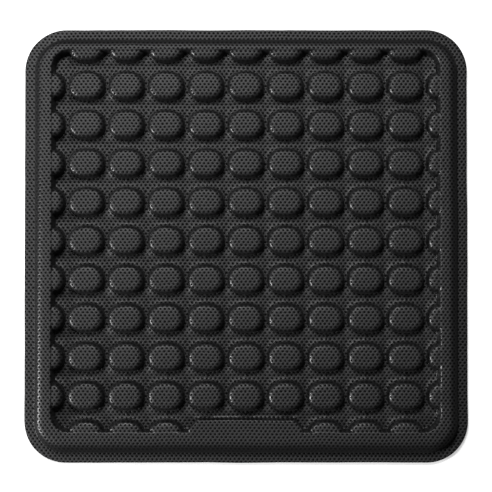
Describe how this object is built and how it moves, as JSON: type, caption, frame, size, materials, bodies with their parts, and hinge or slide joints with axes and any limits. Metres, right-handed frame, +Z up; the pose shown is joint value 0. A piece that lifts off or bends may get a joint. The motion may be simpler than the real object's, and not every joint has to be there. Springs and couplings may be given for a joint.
{
  "type": "door mat",
  "caption": "Moulded door mat: a perforated mesh face with oval bumps, a raised border roll and a flat flange over foam, on a backing with grip dots.",
  "frame": {"origin": "centre of the mat in plan, on the surface that it lies on", "axes": "+Z up out of the bumpy face, +Y towards the back edge, away from the blank label panel, +X to the right"},
  "size_m": [0.45, 0.44, 0.0196],
  "materials": {
    "mesh_face": "black perforated mesh",
    "foam": "matt foam",
    "backing": "matt knit",
    "grip_rubber": "satin rubber"
  },
  "bodies": {
    "root": {"face_cover": "mesh_face", "foam_core": "foam", "backing_sheet": "backing", "grip_dots": "grip_rubber"}
  },
  "joints": []
}
